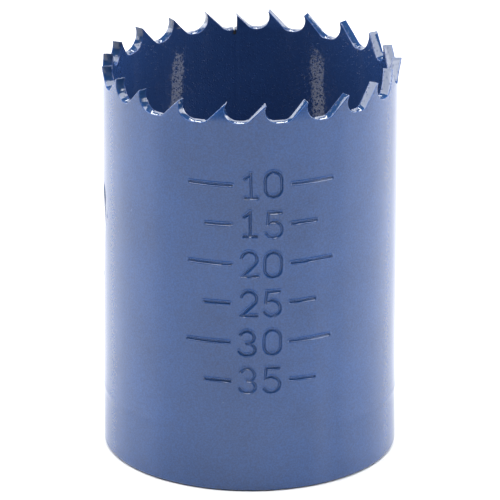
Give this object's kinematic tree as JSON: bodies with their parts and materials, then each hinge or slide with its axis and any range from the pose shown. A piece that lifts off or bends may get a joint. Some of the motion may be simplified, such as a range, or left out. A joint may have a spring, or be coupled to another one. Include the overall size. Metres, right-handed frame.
{
  "type": "hole saw",
  "caption": "Blue painted cup-shaped hole saw with a ring of set teeth, two slots in its wall, and a thick end cap with a threaded centre hole and drive-pin holes.",
  "frame": {"origin": "on the saw's axis, in the flat back face of the cap that it stands on", "axes": "+Z along the axis towards the teeth, -Y towards the viewer, +X along the line of the two drive-pin holes"},
  "size_m": [0.0362, 0.0359, 0.0494],
  "materials": {
    "wall_enamel": "gloss enamel with fine orange peel",
    "cap_enamel": "gloss enamel over turned steel",
    "weld_enamel": "gloss enamel over a rippled weld"
  },
  "bodies": {
    "root": {"saw_wall": "wall_enamel", "end_cap": "cap_enamel", "cap_weld": "weld_enamel"}
  },
  "joints": []
}
